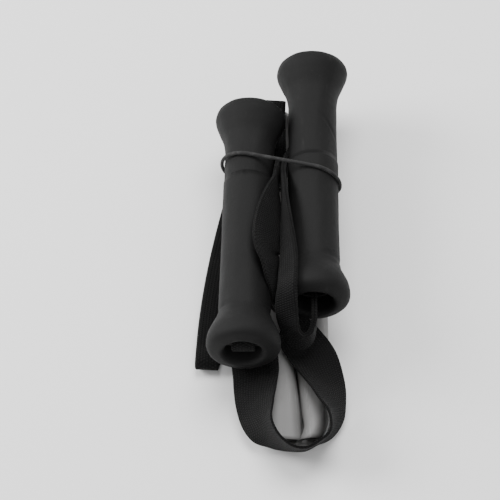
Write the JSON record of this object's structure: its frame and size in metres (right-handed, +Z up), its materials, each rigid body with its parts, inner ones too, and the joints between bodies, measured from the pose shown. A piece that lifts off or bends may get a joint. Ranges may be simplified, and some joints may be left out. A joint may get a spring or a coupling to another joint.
{
  "type": "sock aid",
  "caption": "Sock aid tied up for storage: a flexible plastic gutter rolled from both long edges, two folded webbing pull straps and two flared foam handles held side by side by an elastic tie.",
  "frame": {"origin": "centre of the flat underside of the rolled gutter, on the surface that the bundle lies on", "axes": "+Z up, +Y along the handles away from the strap loop, +X to the right seen from the loop end"},
  "size_m": [0.0833, 0.2352, 0.0603],
  "materials": {
    "gutter_plastic": "satin, dull white flexible sheet",
    "webbing": "flat woven webbing, matte",
    "grip_foam": "closed-cell foam, skinned, matte",
    "tube_plastic": "extruded plastic tube, satin",
    "pin_steel": "turned, dull",
    "rivet_steel": "plated, satin",
    "sewing_thread": "bonded nylon thread",
    "tie_elastic": "covered elastic cord",
    "crimp_metal": "pressed, dull"
  },
  "bodies": {
    "gutter_and_straps": {"gutter_shell": "gutter_plastic", "left_strap": "webbing", "right_strap": "webbing", "left_rivet": "rivet_steel", "right_rivet": "rivet_steel", "left_rivet_washer": "rivet_steel", "right_rivet_washer": "rivet_steel", "left_retaining_pin": "pin_steel", "right_retaining_pin": "pin_steel", "left_bar_tacks": "sewing_thread", "right_bar_tacks": "sewing_thread"},
    "left_tube": {"left_core_tube": "tube_plastic"},
    "right_tube": {"right_core_tube": "tube_plastic"},
    "left_grip": {"left_foam_grip": "grip_foam"},
    "right_grip": {"right_foam_grip": "grip_foam"},
    "tie": {"elastic_tie": "tie_elastic", "tie_crimp": "crimp_metal"}
  },
  "joints": [
    {"name": "left_handle_slide", "type": "slide", "parent": "gutter_and_straps", "child": "left_tube", "axis": [0.0269, 0.9996, 0], "range_m": [0, 0.004]},
    {"name": "left_grip_spin", "type": "hinge", "parent": "left_tube", "child": "left_grip", "pos_m": [-0.02409, 0.00607, 0.0382], "axis": [0.0269, 0.9996, 0], "continuous": true},
    {"name": "right_handle_slide", "type": "slide", "parent": "gutter_and_straps", "child": "right_tube", "axis": [0, -1, 0], "range_m": [0, 0.004]},
    {"name": "right_grip_spin", "type": "hinge", "parent": "right_tube", "child": "right_grip", "pos_m": [0.0116, 0.037, 0.0382], "axis": [0, -1, 0], "continuous": true},
    {"name": "tie_slide", "type": "slide", "parent": "gutter_and_straps", "child": "tie", "axis": [0, 1, 0], "range_m": [-0.005, 0]}
  ]
}
